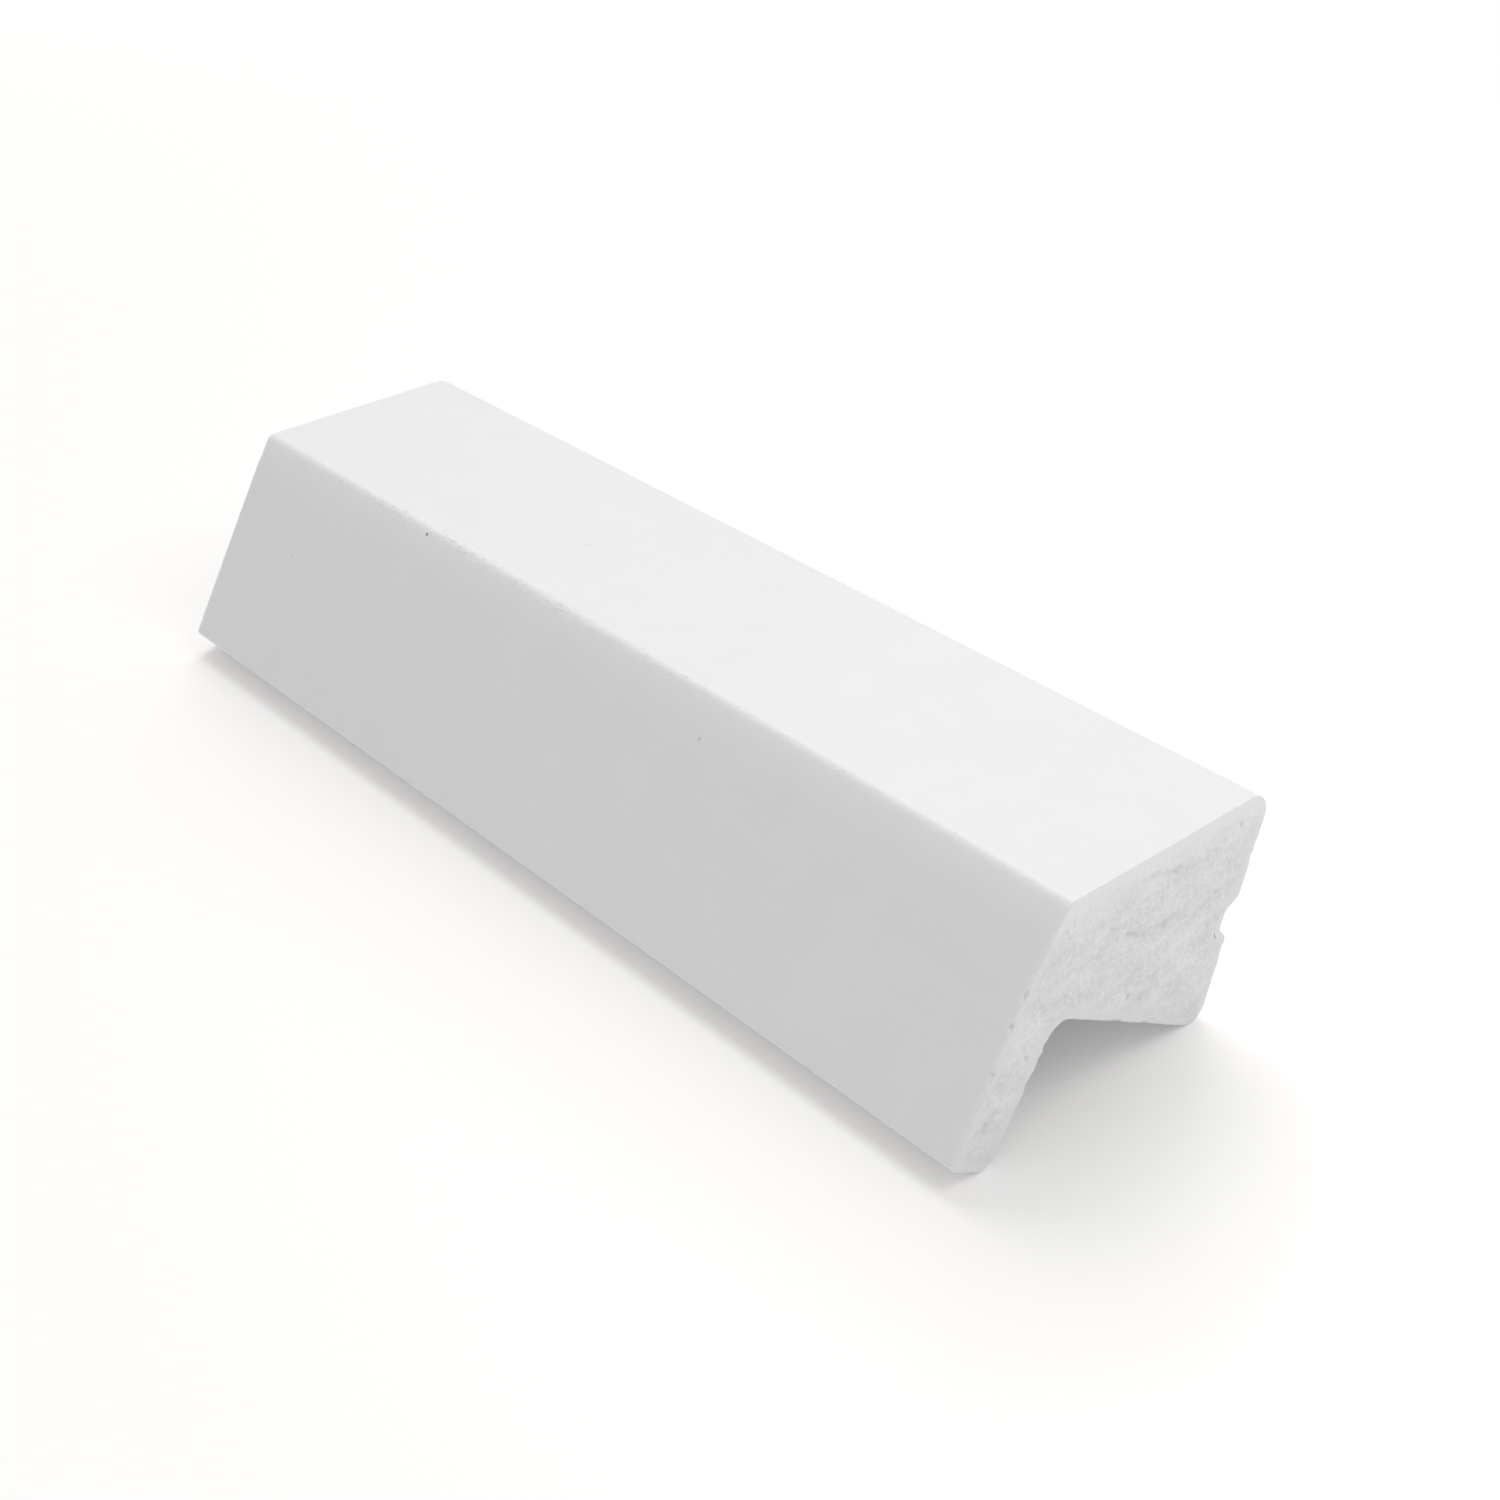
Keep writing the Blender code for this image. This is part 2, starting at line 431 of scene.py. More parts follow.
DRIFT_MIDDLE, DRIFT_WIDTH = -13.5 * MM, 9 * MM  # up and down the front face
DRIFT_BACK = 8 * MM  # how far behind the front face the drift ends
PLAIN_RIM, FULL_MARKS = 0.8 * MM, 2.8 * MM  # depths below the outside between which the marks begin
BOWL_RADIUS = 0.62  # as a share of the cells' pitch


def saw_path(places, points, end, foam):
    """How far the cut strays behind its plane: broad ripples, and on the near end one long drift, a
    bell down the front face that fades towards the back."""
    ripples = 0.6 * soft_noise(places, 7 * MM, 21) + 0.4 * soft_noise(places, 2.6 * MM, 22)
    drift = bell(points.imag - DRIFT_MIDDLE, DRIFT_WIDTH) * (1 - rise(points.real, 0, DRIFT_BACK))
    return foam.unevenness * ripples + foam.drift * drift * (end > 0)


def sawn_relief(places, points, buried, end, foam):
    """How far each point of a sawn end lies behind the path of the saw: the opened cells as round
    bowls, one minus the square of the distance from a cell's middle, then a finer grain, and the tears.
    Buried is the depth below the outside, and the marks fade out towards the skin."""
    inside = rise(buried, PLAIN_RIM, FULL_MARKS)
    warped = places + 0.7 * foam.cell * (soft_noise(places, 1.1 * MM, 23) - 0.5)[..., None]
    bowls = np.clip(1 - (cell_distance(warped, foam.cell, 24) / BOWL_RADIUS) ** 2, 0, 1)
    patches = rise(soft_noise(places, 3.1 * MM, 25), 0.3, 0.75)
    grain = soft_noise(places, 0.5 * MM, 26)
    ragged = 0.2 + 1.5 * soft_noise(places, 0.7 * MM, 27)
    depth = foam.cell_depth * (0.2 + 0.8 * patches) * bowls * (0.15 + 0.85 * inside)
    depth += foam.grain_depth * grain * (0.3 + 0.7 * inside)
    return depth + torn(points, end, foam) * ragged * inside


def new_mesh(name, places, faces, attributes):
    """A smooth mesh from whole arrays of places and four-cornered faces, with a number at each point
    for each attribute."""
    mesh = bpy.data.meshes.new(name)
    mesh.vertices.add(len(places))
    mesh.vertices.foreach_set("co", places.astype(np.float32).ravel())
    mesh.loops.add(faces.size)
    mesh.loops.foreach_set("vertex_index", faces.astype(np.int32).ravel())
    mesh.polygons.add(len(faces))
    mesh.polygons.foreach_set("loop_start", np.arange(0, faces.size, 4, dtype=np.int32))
    mesh.update(calc_edges=True)
    if mesh.validate():
        raise RuntimeError(f"{name}: the mesh has faulty faces")
    mesh.shade_smooth()
    mesh.set_sharp_from_angle(angle=CREASE)
    for label, values in attributes.items():
        layer = mesh.attributes.new(label, "FLOAT", "POINT")
        layer.data.foreach_set("value", values.astype(np.float32).ravel())
    piece = bpy.data.objects.new(name, mesh)
    bpy.context.scene.collection.objects.link(piece)
    return piece


def grid_faces(index):
    """A face for each square of a grid of point numbers."""
    return np.stack([index[:-1, :-1], index[1:, :-1], index[1:, 1:], index[:-1, 1:]], axis=-1).reshape(-1, 4)


def mounted(piece, node):
    """Put a piece on the trim's one body in place of a CAD node, and hide that node."""
    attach(piece, "root")
    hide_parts(node)


def length_of_trim():
    """Half the trim's length and the place of its middle along X."""
    low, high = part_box("outer_skin")
    return (high.x - low.x) / 2, (high.x + low.x) / 2


# Where the skin's rings crowd together beside a cut: their distances from the arris, in millimetres,
# and the distance from which the rest are evenly spaced
CROWDED = (0, 0.12, 0.26, 0.42, 0.6, 0.8, 1.05, 1.35, 1.7, 2.1, 2.6, 3.2, 3.9, 4.7)
CROWDED_REACH = 5.5 * MM
EVEN_RINGS = 182
ARRIS_POINTS = 4
CUT_POINTS = 7


def wall_path(half, wall, edge):
    """The closed path round the wall's own thickness, as x and depth below the outside: along the
    outside, round the arris as a quarter circle, across the sawn end, and back across the other end.
    The inside is one straight step between the two ends."""
    reach = half - edge
    crowded = np.array(CROWDED) * MM
    middle = np.linspace(CROWDED_REACH - reach, reach - CROWDED_REACH, EVEN_RINGS)
    outside = np.concatenate([crowded - reach, middle, (reach - crowded)[::-1]])
    corner = np.linspace(0, math.pi / 2, ARRIS_POINTS)[1:]
    across = np.linspace(edge, wall, CUT_POINTS)[1:]
    end_x = np.concatenate([reach + edge * np.sin(corner), np.full(len(across), half)])
    end_depth = np.concatenate([edge - edge * np.cos(corner), across])
    x = np.concatenate([outside, end_x, -end_x[::-1]])
    depth = np.concatenate([np.zeros(len(outside)), end_depth, end_depth[::-1]])
    return x, depth


# Knocks along the nose, in millimetres: the place along the trim, how far down the front the middle
# lies, the length and the width, then the depth as a share of the deepest
KNOCKS = (
    (-36.9, -1.3, 1.3, 0.4, 1.0),
    (-28.2, 0.3, 1.8, 0.5, 0.9),
    (-22.4, 0.5, 2.6, 0.4, 0.5),
    (-12.0, 0.2, 1.9, 0.45, 1.0),
    (-6.6, 0.4, 2.2, 0.5, 0.8),
    (-2.4, 0.0, 2.0, 0.5, 0.9),
    (6.5, 0.3, 2.8, 0.4, 0.4),
)
SMALL_KNOCKS = 40
LARGEST_PILE = 1.3  # of knocks on one another, as a share of the deepest

# Specks of dirt on the skin, in millimetres: the place along the trim, the place on the section, the
# radius, and how dark it is
SPECKS = (
    (-39.0, 0.2 - 0.8j, 0.27, 0.75),
    (-36.9, 1.2 + 0.7j, 0.2, 0.45),
    (23.4, -5.65j, 0.25, 0.3),
    (-20.1, 11.8 + 6.8j, 0.4, 0.08),
    (-66.0, -14.0j, 0.25, 0.15),
    (52.0, 33.0 + 7.2j, 0.3, 0.3),
    (-18.0, 35.5 - 3.5j, 0.25, 0.35),
)

ENDS_APART = 0.3  # where the noise for the two ends' chips is read, in metres each way
CHIP_REACH = 0.32 * MM
BROW_ON_TOP = 6 * MM
RIDGE_WIDTH = 0.9 * MM
# How far onto the top the painted highlight along the nose reaches
NOSE_HIGHLIGHT_ON_TOP = 0.6 * MM
SCUFFED_BESIDE_CUT = 0.5 * MM
WAVE_SIZE = np.array([16, 6, 6]) * MM  # of the broad hollows along X, Y and Z
HANDLED_PLACE, HANDLED_REACH = -25 * MM, 35 * MM  # the stretch of the nose that streaks gather on


def knock_depth(x, run, skin):
    """Depth of the knocks: a bell along and a bell across for each listed one, and a scatter of smaller
    ones. Run is the distance down the front from the nose's middle."""
    marks = list(KNOCKS)
    random = np.random.default_rng(5)
    for _ in range(SMALL_KNOCKS):
        marks.append((random.uniform(-79, 79), random.normal(0.1, 0.45), random.uniform(0.8, 2.6),
                      random.uniform(0.2, 0.45), random.uniform(0.1, 0.4)))
    depth = np.zeros(np.broadcast(x, run).shape)
    for place, down, long, wide, part in marks:
        depth += part * bell(x - place * MM, long * MM / 2) * bell(run - down * MM, wide * MM)
    return skin.nick_depth * np.minimum(depth, LARGEST_PILE)


def brow_share(run, skin):
    """How much of the brow's fall each place has: it dies away down the front as the exponential of the
    distance over its reach, and fades to nothing over the first few millimetres of the top."""
    return np.exp(-np.maximum(run, 0) / skin.brow_reach) * (1 - rise(-run, 0, BROW_ON_TOP))


def chip_size(ways, points, end, skin):
    """How far the sawn arris is broken back at each way: small ragged bites everywhere, fewer and
    larger ones in places, the largest on the underside, where the saw breaks out, and the listed ones.
    The far end has only the scattered bites, half as large."""
    ring = np.stack([np.full(points.shape, end * ENDS_APART), points.real, points.imag], axis=-1)
    fine = soft_noise(ring, 0.45 * MM, 31)
    coarse = rise(soft_noise(ring, 1.7 * MM, 32), 0.55, 0.9)
    underside = rise(ways, BACK_FOOT + 0.4, REBATE) * (1 - rise(ways, TIP_BACK, TIP_BACK + END_OF_ARC))
    placed = sum(size * MM * bell(abs(points / MM - middle), radius) for middle, radius, size in BITES)
    scattered = skin.chipping * (0.14 * fine + 0.55 * coarse * fine) * (1 + 2 * underside)
    return scattered + placed if end > 0 else scattered / 2


def chipped(ways, points, x, from_arris, skin):
    """How far each place is broken back: the size of the chip at its way, times a bell over its
    distance from the arris."""
    weight = bell(from_arris, CHIP_REACH)
    return sum(chip_size(ways, points, end, skin) * weight * (x * end > 0) for end in (1, -1))


class TRIM_OT_extruded_skin(bpy.types.Operator):
    """Carry the rounded section along the length, as one closed wall with sawn ends"""

    bl_idname = "trim.extruded_skin"
    bl_label = "Extruded skin"

    def execute(self, context):
        section, skin, foam = context.scene.trim_section, context.scene.trim_skin, context.scene.trim_foam
        outer = Outline(*section_corners(section))
        inner = Outline(*inset(*section_corners(section), section.wall))
        stand = Stand(outer)
        half, centre = length_of_trim()

        count = round(outer.between(0, CORNERS) / skin.spacing)
        ways = outer.evenly(END_OF_ARC, CORNERS + END_OF_ARC, count + 1)[:-1]
        x, depth = (values[:, None] for values in wall_path(half, section.wall, skin.cut_edge))
        outside, normal = outer.at(ways)
        through = inner.at(ways)[0] - outside
        points = outside + through * depth / section.wall

        run_down = np.where(ways > CORNERS / 2, 1, -1) * abs(outside - outer.at(MIDDLE_OF_ARC)[0])
        near_cut = half - abs(x)
        on_outside = depth == 0
        brow = brow_share(run_down, skin)
        along_top = np.exp(1j * section.top_slope)
        points = points + along_top * skin.brow_fall * brow * (1 - depth / section.wall)
        wave = skin.waviness * soft_noise(stand.places(x, outside), WAVE_SIZE, 1)
        knocks = knock_depth(x, run_down, skin) * on_outside
        points = points - normal * (wave + knocks) * on_outside * rise(near_cut, 0, 2 * MM)
        chips = chipped(ways % CORNERS, outside, x, np.hypot(near_cut, depth), skin)
        points = points + unit(through) * chips * (depth < section.wall)

        end = np.sign(x)
        sawn = 1 - rise(near_cut, 0.1 * skin.cut_edge, 1.6 * skin.cut_edge)
        follows = 1 - np.clip(near_cut / foam.drift_reach, 0, 1)
        recess = chips
        for side in (1, -1):
            face = stand.places(side * half, points)
            relief = sawn_relief(face, points, depth, side, foam)
            recess = recess + (end == side) * (relief * sawn + saw_path(face, points, side, foam) * follows)
        x = x - end * recess

        index = np.arange(points.size).reshape(points.shape)
        index = np.pad(index, ((0, 1), (0, 1)), mode="wrap")
        handled = 0.35 + 0.65 * bell(x - HANDLED_PLACE, HANDLED_REACH)
        # Painted highlight: the skin is coloured paler near the nose, down the front as far as the brow and
        # in a narrow band on the top
        painted_nose_highlight = np.where(run_down > 0, brow, bell(run_down, NOSE_HIGHLIGHT_ON_TOP))
        piece = new_mesh(
            "extruded_skin",
            stand.places(centre + x, points).reshape(-1, 3),
            grid_faces(index),
            {
                "wear": np.clip(knocks / skin.nick_depth + bell(near_cut, SCUFFED_BESIDE_CUT), 0, 1),
                "ridge": bell(run_down, RIDGE_WIDTH) * handled * on_outside,
                "painted_nose_highlight": np.broadcast_to(painted_nose_highlight, points.shape),
                "sawn": np.broadcast_to(sawn, points.shape),
                "dense": under_top(points, section, foam),
            },
        )
        specks = [
            (stand.places(along * MM, point * MM), radius * MM, dark) for along, point, radius, dark in SPECKS
        ]
        piece.data.materials.append(skin_material(skin, foam, specks))
        mounted(piece, "outer_skin")
        return {"FINISHED"}


# The foam's grid has three stretches along its front side and three along its rear side
FRONT_STOPS = (
    TIP_FRONT + MIDDLE_OF_ARC,
    CORNERS - 0.27,  # a little below the middle of the front face
    CORNERS + END_OF_ARC + 0.04,  # a little behind the nose
    CORNERS + BACK_TOP + MIDDLE_OF_ARC,
)
REAR_STOPS = (TIP_BACK + MIDDLE_OF_ARC, REBATE + END_OF_ARC, REBATE, BACK_FOOT + MIDDLE_OF_ARC)
ROW_SHARE = 0.72  # of the points that the back face would need, because most rows are shorter
TIP_FADE = 40
BACK_FADE = 10
RIM_SAMPLES = 1400
BATCHES = 40


def section_patch(outline, spacing):
    """A grid over the whole section. Its rows run from the front and the top across to the back of the
    leg and the roof of the rebate, and its columns run from the leg's tip to the back. A row is a
    straight line between its two sides, moved near the tip and near the back by how far the outline
    there departs from straight. That move fades as a high power of the share of the way along the
    columns."""
    front, rear = [], []
    for step in range(len(FRONT_STOPS) - 1):
        stretches = FRONT_STOPS[step:step + 2], REAR_STOPS[step:step + 2]
        count = round(max(outline.between(*stretch) for stretch in stretches) / spacing)
        for side, stretch in zip((front, rear), stretches):
            side.append(outline.evenly(*stretch, count + 1)[1 if step else 0:])
    front_ways, rear_ways = np.concatenate(front), np.concatenate(rear)
    down_back = outline.between(BACK_TOP + MIDDLE_OF_ARC, BACK_FOOT + MIDDLE_OF_ARC)
    across = round(ROW_SHARE * down_back / spacing)
    tip_ways = outline.evenly(front_ways[0], rear_ways[0], across)
    back_ways = outline.evenly(front_ways[-1] - CORNERS, rear_ways[-1], across)

    s = np.linspace(0, 1, across)[:, None]
    t = np.linspace(0, 1, len(front_ways))
    ways = front_ways, rear_ways, tip_ways, back_ways
    front_side, rear_side, tip, back = (outline.at(side_ways)[0] for side_ways in ways)
    straight = front_side * (1 - s) + rear_side * s
    tip_bulge = (tip - straight[:, 0])[:, None] * (1 - t) ** TIP_FADE
    back_bulge = (back - straight[:, -1])[:, None] * t ** BACK_FADE
    return straight + tip_bulge + back_bulge


def depth_below(points, outline):
    """Distance from each point to the outline, from the nearest of many points along it. It is worked
    out a batch of points at a time, to save memory."""
    rim = outline.at(outline.evenly(0, CORNERS, RIM_SAMPLES))[0]
    batches = np.array_split(points.ravel(), BATCHES)
    nearest = [abs(batch[:, None] - rim).min(axis=1) for batch in batches]
    return np.concatenate(nearest).reshape(points.shape)


class TRIM_OT_sawn_foam_core(bpy.types.Operator):
    """Fill the skin with foam, and open its cells, tears and pits on both sawn ends"""

    bl_idname = "trim.sawn_foam_core"
    bl_label = "Sawn foam core"

    def execute(self, context):
        section, foam = context.scene.trim_section, context.scene.trim_foam
        corners = section_corners(section)
        outer = Outline(*corners)
        outline = Outline(*inset(*corners, section.wall + foam.bond))
        stand = Stand(outer)
        half, centre = length_of_trim()

        points = section_patch(outline, foam.spacing)
        buried = depth_below(points, outer)
        index = np.arange(points.size).reshape(points.shape)
        rim = np.concatenate([index[0, :-1], index[:-1, -1], index[-1, :0:-1], index[:0:-1, 0]])
        places, recess = [], []
        for end in (1, -1):
            face = stand.places(end * half, points)
            relief = sawn_relief(face, points, buried, end, foam)
            strayed = relief + saw_path(face, points, end, foam)
            places.append(stand.places(centre + end * (half - strayed), points).reshape(-1, 3))
            recess.append(relief.ravel())
        side = np.stack([rim, np.roll(rim, -1), np.roll(rim, -1) + points.size, rim + points.size], axis=-1)
        faces = np.concatenate([grid_faces(index), grid_faces(index)[:, ::-1] + points.size, side])
        piece = new_mesh(
            "sawn_foam_core",
            np.concatenate(places),
            faces,
            {
                "recess": np.concatenate(recess),
                "buried": np.tile(buried.ravel(), 2),
                "dense": np.tile(under_top(points, section, foam).ravel(), 2),
            },
        )
        piece.data.materials.append(foam_material(foam))
        mounted(piece, "foam_core")
        return {"FINISHED"}


class Nodes:
    """A material's shader nodes. A socket is given a number, a colour or another node's output."""

    def __init__(self, name):
        self.material = bpy.data.materials.new(name)
        self.material.use_nodes = True
        self.tree = self.material.node_tree
        self.shader = self.tree.nodes["Principled BSDF"]

    def add(self, kind, sockets=None, **settings):
        node = self.tree.nodes.new(kind)
        for setting, value in settings.items():
            setattr(node, setting, value)
        self.fill(node, sockets or {})
        return node

    def fill(self, node, sockets):
        for socket, value in sockets.items():
            if isinstance(value, bpy.types.NodeSocket):
                self.tree.links.new(value, node.inputs[socket])
            else:
                node.inputs[socket].default_value = value

    def place(self):
        return self.add("ShaderNodeTexCoord").outputs["Object"]

    def stretched(self, place, scale, turn=0.0):
        """The place turned about X and multiplied along each axis. A number under 1 draws a pattern out."""
        sockets = {"Vector": place, "Rotation": (turn, 0, 0), "Scale": scale}
        return self.add("ShaderNodeMapping", sockets).outputs["Vector"]

    def attribute(self, name):
        return self.add("ShaderNodeAttribute", attribute_name=name).outputs["Fac"]

    def noise(self, vector, scale, detail=2.0, roughness=0.5):
        """Noise from 0 to 1 whose broadest features come at so many to the metre."""
        sockets = {"Vector": vector, "Scale": scale, "Detail": detail, "Roughness": roughness}
        return self.add("ShaderNodeTexNoise", sockets).outputs["Fac"]

    def ranged(self, value, low, high, to_low, to_high):
        """The value carried in proportion from one range to another, and held at the ends."""
        sockets = {"Value": value, "From Min": low, "From Max": high, "To Min": to_low, "To Max": to_high}
        return self.add("ShaderNodeMapRange", sockets).outputs["Result"]

    def math(self, operation, first, second):
        return self.add("ShaderNodeMath", {0: first, 1: second}, operation=operation).outputs["Value"]

    def tinted(self, factor, first, second):
        """A colour that runs from first to second as the factor runs from 0 to 1."""
        node = self.add("ShaderNodeMix", {"Factor": factor}, data_type="RGBA")
        self.fill(node, {6: first, 7: second})
        return node.outputs[2]

    def bumped(self, height, strength, distance, normal=None):
        sockets = {"Height": height, "Strength": strength, "Distance": distance}
        if normal:
            sockets["Normal"] = normal
        return self.add("ShaderNodeBump", sockets).outputs["Normal"]


def shaded(rgb, factor):
    """The colour with each channel multiplied by a factor, and not past 1."""
    return (*(min(channel * factor, 1) for channel in rgb), 1)


DIRT = (0.03, 0.028, 0.025, 1)
DENSE_AND_PAINTED_LIGHT_SHARE = 0.6  # how much of the paler tone, partly dense foam and partly painted light, the band under the top takes
DENSE_AND_PAINTED_LIGHT_TONE = 1.12


def skin_material(skin, foam, specks):
    """Moulded skin: broad mottling, drawn lines along the length, a fine grain, a painted highlight that
    makes the nose paler, streaks along it where it is handled, specks of dirt, and a dull, paler surface
    where it is knocked. Where it is sawn it takes the foam's tone, paler under the top, partly for the dense
    foam there and partly as painted light on the upper part of the end."""
    nodes = Nodes("skin")
    place = nodes.place()
    mottling = nodes.noise(place, 110, 4, 0.6)
    drawn = nodes.noise(nodes.stretched(place, (0.04, 1, 1)), 900, 2)
    grain = nodes.noise(place, 3200, 2, 0.6)
    streaks = nodes.noise(nodes.stretched(place, (0.3, 1, 1)), 2600, 2, 0.6)
    wear = nodes.attribute("wear")
    ridge = nodes.attribute("ridge")
    sawn = nodes.attribute("sawn")

    tone = nodes.ranged(nodes.math("ADD", mottling, nodes.math("MULTIPLY", drawn, 0.3)), 0.4, 0.9, 0, 1)
    plain = nodes.tinted(tone, shaded(skin.colour, 0.985), shaded(skin.colour, 1.012))
    # Painted highlight: paler colour along the nose
    moulded = nodes.tinted(nodes.attribute("painted_nose_highlight"), plain, shaded(skin.colour, 1.09))
    dark_streaks = nodes.math("MULTIPLY", ridge, nodes.ranged(streaks, 0.56, 0.68, 0, 1))
    streaked = nodes.tinted(dark_streaks, moulded, shaded(skin.colour, 0.84))
    pale_streaks = nodes.math("MULTIPLY", ridge, nodes.ranged(streaks, 0.44, 0.34, 0, 1))
    scuffs = nodes.math("MULTIPLY", wear, nodes.ranged(nodes.noise(place, 1500, 3), 0.35, 0.65, 0.2, 1))
    worn = nodes.tinted(nodes.math("MAXIMUM", scuffs, pale_streaks), streaked, shaded(skin.colour, 1.12))
    for middle, radius, dark in specks:
        away = nodes.add("ShaderNodeVectorMath", {0: place, 1: tuple(middle)}, operation="DISTANCE")
        spot = nodes.ranged(away.outputs["Value"], 0.6 * radius, 1.1 * radius, dark, 0)
        worn = nodes.tinted(spot, worn, DIRT)
    speckle = nodes.ranged(nodes.noise(place, 1300, 3, 0.6), 0.35, 0.65, 0, 1)
    sawn_wall = nodes.tinted(speckle, shaded(foam.colour, 0.975), shaded(foam.colour, 1.02))
    # Partly painted light: the sawn skin is paler under the top
    dense = nodes.math("MULTIPLY", nodes.attribute("dense"), DENSE_AND_PAINTED_LIGHT_SHARE)
    cut = nodes.tinted(dense, sawn_wall, shaded(foam.colour, DENSE_AND_PAINTED_LIGHT_TONE))
    height = nodes.math("ADD", grain, nodes.math("MULTIPLY", nodes.math("MULTIPLY", ridge, streaks), 3))
    nodes.fill(nodes.shader, {
        "Base Color": nodes.tinted(sawn, worn, cut),
        "Roughness": nodes.ranged(nodes.math("MAXIMUM", scuffs, sawn), 0, 1, skin.roughness, foam.roughness),
        "Metallic": 0.0,
        "Specular IOR Level": 0.4,
        "Normal": nodes.bumped(height, 0.4, 0.02 * MM, nodes.bumped(drawn, 0.25, 0.02 * MM)),
    })
    return nodes.material


def foam_material(foam):
    """Sawn foam: broad patches drawn out across the cut, a paler band under the top, partly the dense foam
    there and partly painted light on the upper part of the end, painted highlights as pale flecks on the
    torn edges of the cells where the grain stands high, painted shade as darker holes between them where it
    lies low, both fading towards the skin, and painted shade as a darker tone in the deepest marks."""
    nodes = Nodes("foam")
    place = nodes.place()
    patches = nodes.noise(nodes.stretched(place, (1, 0.5, 1.2), math.radians(-8)), 330, 3, 0.6)
    grain = nodes.noise(place, 1600, 4, 0.62)
    cells = nodes.add("ShaderNodeTexVoronoi", {"Vector": place, "Scale": 1700}).outputs["Distance"]
    recess = nodes.attribute("recess")
    buried = nodes.attribute("buried")

    rough = nodes.ranged(buried, 1.1 * MM, 2.6 * MM, 0.3, 1)
    patched = nodes.ranged(patches, 0.32, 0.68, 0, 1)
    plain = nodes.tinted(patched, shaded(foam.colour, 0.91), shaded(foam.colour, 1.05))
    # Partly painted light: the sawn foam is paler under the top
    dense = nodes.math("MULTIPLY", nodes.attribute("dense"), DENSE_AND_PAINTED_LIGHT_SHARE)
    body = nodes.tinted(dense, plain, shaded(foam.colour, DENSE_AND_PAINTED_LIGHT_TONE))
    # Painted highlights on the raised grain and painted shade in its hollows: paler where the grain is high,
    # darker where it is low
    painted_grain_highlights = nodes.math("MULTIPLY", rough, nodes.ranged(grain, 0.52, 0.66, 0, 1))
    with_grain_highlights = nodes.tinted(painted_grain_highlights, body, shaded(foam.colour, 1.09))
    painted_grain_shade = nodes.math("MULTIPLY", rough, nodes.ranged(grain, 0.44, 0.32, 0, 0.8))
    with_grain_shade = nodes.tinted(painted_grain_shade, with_grain_highlights, shaded(foam.colour, 0.91))
    # Painted shade: the deepest sawn marks are coloured darker, by their depth
    deep = nodes.ranged(recess, 0.16 * MM, 0.6 * MM, 0, 0.6)
    height = nodes.math("ADD", grain, nodes.math("MULTIPLY", cells, 0.7))
    strength = nodes.ranged(buried, 0.8 * MM, 2.5 * MM, 0.4, 1)
    nodes.fill(nodes.shader, {
        "Base Color": nodes.tinted(deep, with_grain_shade, shaded(foam.colour, 0.74)),
        "Roughness": nodes.ranged(grain, 0.5, 0.7, foam.roughness, foam.roughness - 0.2),
        "Metallic": 0.0,
        "Specular IOR Level": 0.3,
        "Normal": nodes.bumped(height, strength, 0.06 * MM),
    })
    return nodes.material


def floor_material(stage):
    """Pale matt card with a barely visible tooth."""
    nodes = Nodes("pale_card")
    tooth = nodes.noise(nodes.place(), 900, 3)
    card = nodes.tinted(tooth, shaded(stage.floor_colour, 0.995), shaded(stage.floor_colour, 1.005))
    nodes.fill(nodes.shader, {
        "Base Color": card,
        "Roughness": 0.95,
        "Specular IOR Level": 0.1,
        "Emission Color": (1, 1, 1, 1),
        "Emission Strength": stage.floor_glow,
    })
    return nodes.material


def soft_light(name, watts, size, place, target):
    """A square area light at a place, turned to face the target."""
    light = bpy.data.lights.new(name, "AREA")
    light.shape = "SQUARE"
    light.size = size
    light.energy = watts
    lamp = bpy.data.objects.new(name, light)
    facing = (target - place).to_track_quat("-Z", "Y").to_matrix().to_4x4()
    lamp.matrix_world = Matrix.Translation(place) @ facing
    bpy.context.scene.collection.objects.link(lamp)


FLOOR_LINES = 9
SENSOR_WIDTH = 36  # in millimetres
NEAREST_SEEN, FURTHEST_SEEN = 0.01, 20


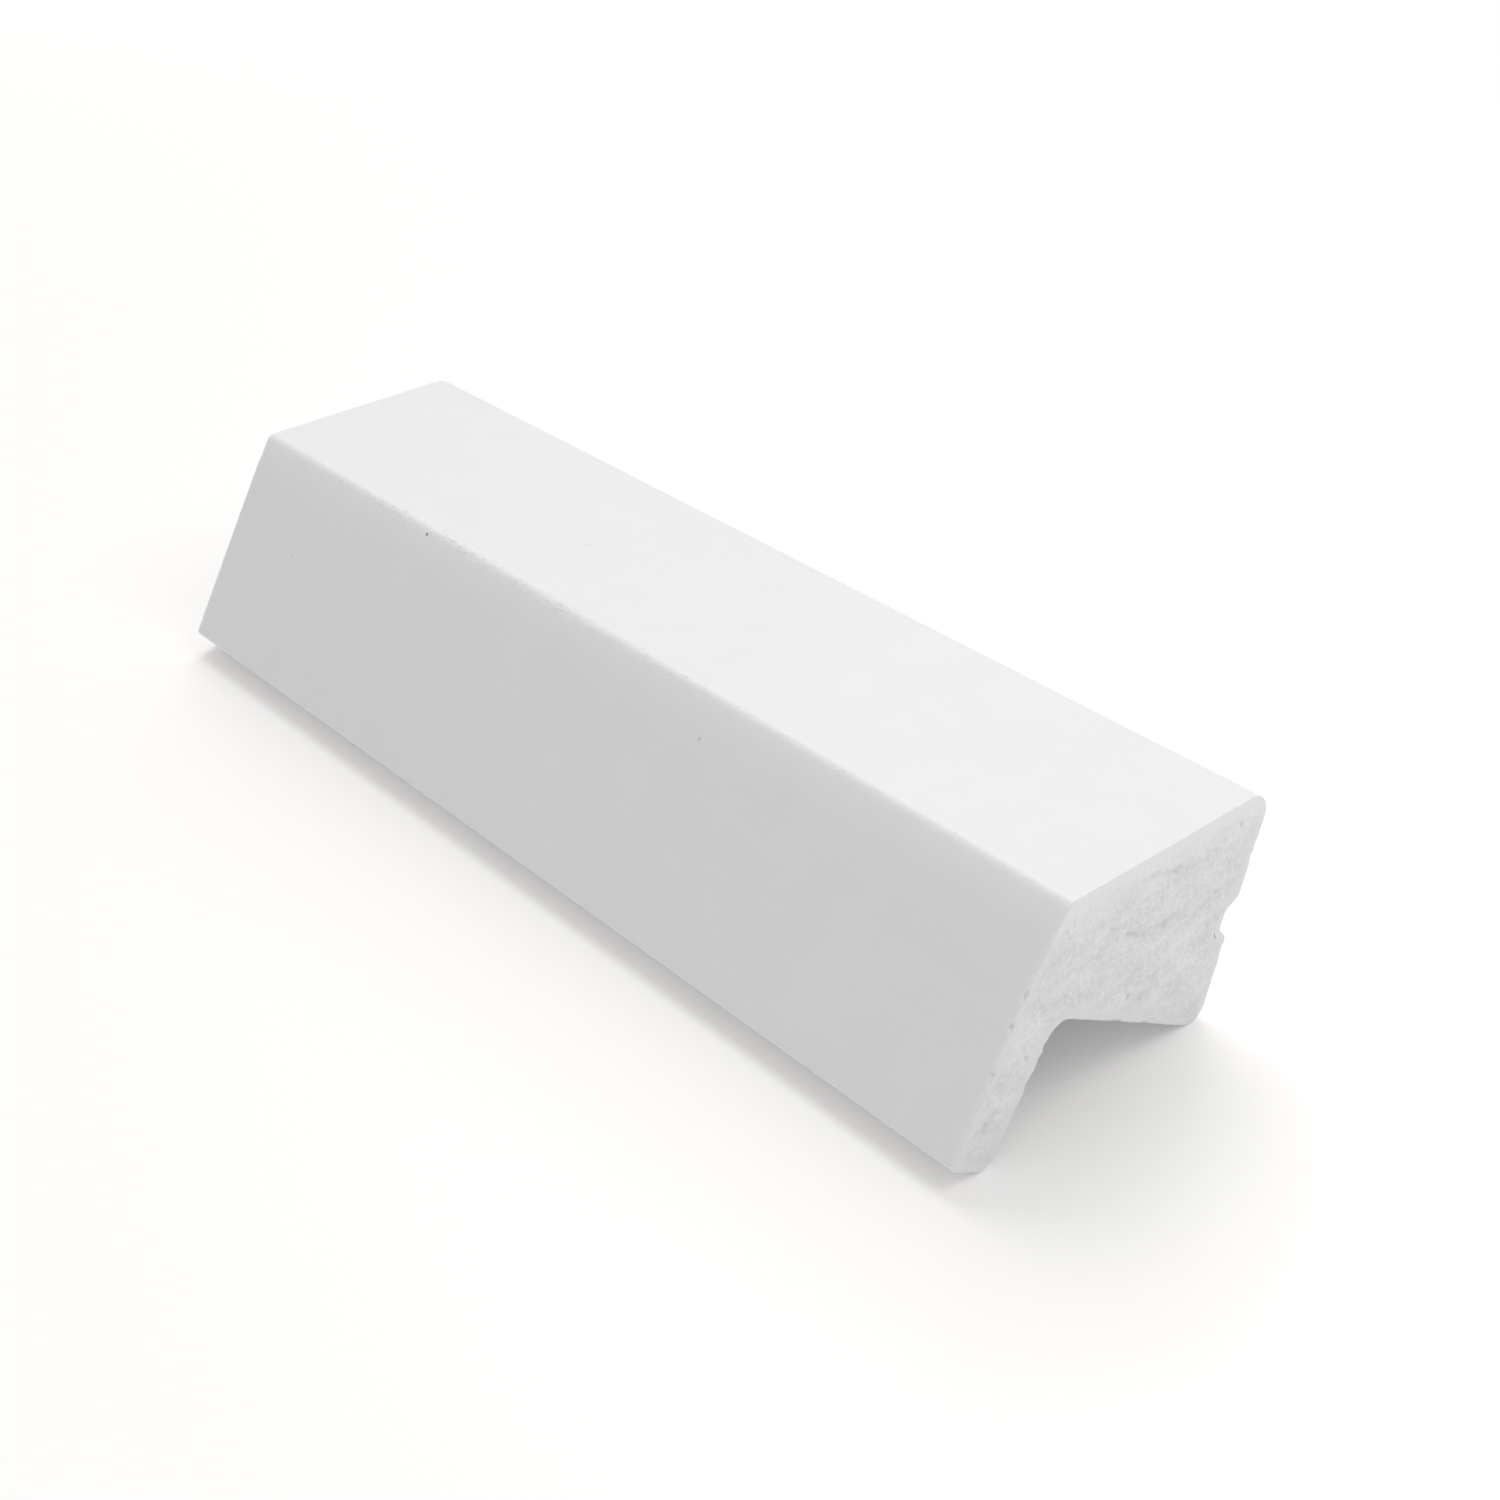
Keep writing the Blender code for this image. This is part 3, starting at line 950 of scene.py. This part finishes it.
class TRIM_OT_stage(bpy.types.Operator):
    """Lay the pale floor, set the soft lights and place the camera"""

    bl_idname = "trim.stage"
    bl_label = "Floor, lights and camera"

    def execute(self, context):
        scene = context.scene
        stage = scene.trim_stage
        low, high = CAD_BOX
        middle = (low + high) / 2

        steps = np.linspace(-stage.floor_width / 2, stage.floor_width / 2, FLOOR_LINES)
        x, y = np.meshgrid(steps, steps, indexing="ij")
        places = np.stack([middle.x + x, middle.y + y, np.full(x.shape, low.z)], axis=-1)
        index = np.arange(x.size).reshape(x.shape)
        floor = new_mesh("floor", places.reshape(-1, 3), grid_faces(index), {})
        floor.data.materials.append(floor_material(stage))

        world = bpy.data.worlds.new("soft_sky")
        world.use_nodes = True
        sky = world.node_tree.nodes["Background"]
        sky.inputs["Color"].default_value = (*stage.sky_colour, 1)
        sky.inputs["Strength"].default_value = stage.sky_strength
        scene.world = world
        soft_light("overhead", stage.overhead, stage.overhead_size, middle + stage.overhead_place, middle)
        soft_light("end_side", stage.near_end, stage.near_end_size, middle + stage.near_end_place, middle)

        turn, down = stage.camera_turn, stage.camera_height
        back = Vector((math.cos(turn) * math.cos(down), math.sin(turn) * math.cos(down), math.sin(down)))
        lens = bpy.data.cameras.new("camera")
        lens.lens = stage.camera_lens
        lens.sensor_width = SENSOR_WIDTH
        lens.clip_start, lens.clip_end = NEAREST_SEEN, FURTHEST_SEEN
        camera = bpy.data.objects.new("camera", lens)
        place = Matrix.Translation(middle + stage.camera_aim + back * stage.camera_distance)
        looking = back.to_track_quat("Z", "Y").to_matrix().to_4x4()
        camera.matrix_world = place @ looking @ Matrix.Rotation(stage.camera_roll, 4, "Z")
        scene.collection.objects.link(camera)
        scene.camera = camera
        scene.view_settings.view_transform = "Standard"
        return {"FINISHED"}


class TRIM_PT_sidebar(bpy.types.Panel):
    """The trim's sizes, finishes and pieces"""

    bl_idname = "TRIM_PT_sidebar"
    bl_label = "Cellular trim"
    bl_space_type = "VIEW_3D"
    bl_region_type = "UI"
    bl_category = "Trim"

    def draw(self, context):
        for title, name, _ in GROUPS:
            box = self.layout.box()
            box.label(text=title)
            group = getattr(context.scene, name)
            for field in group.__annotations__:
                box.prop(group, field)
        for operator in OPERATORS:
            self.layout.operator(operator.bl_idname)


GROUPS = (
    ("Section", "trim_section", TrimSection),
    ("Skin", "trim_skin", TrimSkin),
    ("Foam", "trim_foam", TrimFoam),
    ("Stage", "trim_stage", TrimStage),
)
OPERATORS = (TRIM_OT_extruded_skin, TRIM_OT_sawn_foam_core, TRIM_OT_stage)
CLASSES = (*(group for _, _, group in GROUPS), *OPERATORS, TRIM_PT_sidebar)


def register():
    for made in CLASSES:
        bpy.utils.register_class(made)
    for _, name, group in GROUPS:
        setattr(bpy.types.Scene, name, PointerProperty(type=group))


def unregister():
    for _, name, _ in GROUPS:
        delattr(bpy.types.Scene, name)
    for made in reversed(CLASSES):
        bpy.utils.unregister_class(made)


def main():
    register()
    bpy.ops.trim.extruded_skin()
    bpy.ops.trim.sawn_foam_core()
    bpy.ops.trim.stage()


if __name__ == "__main__":
    main()
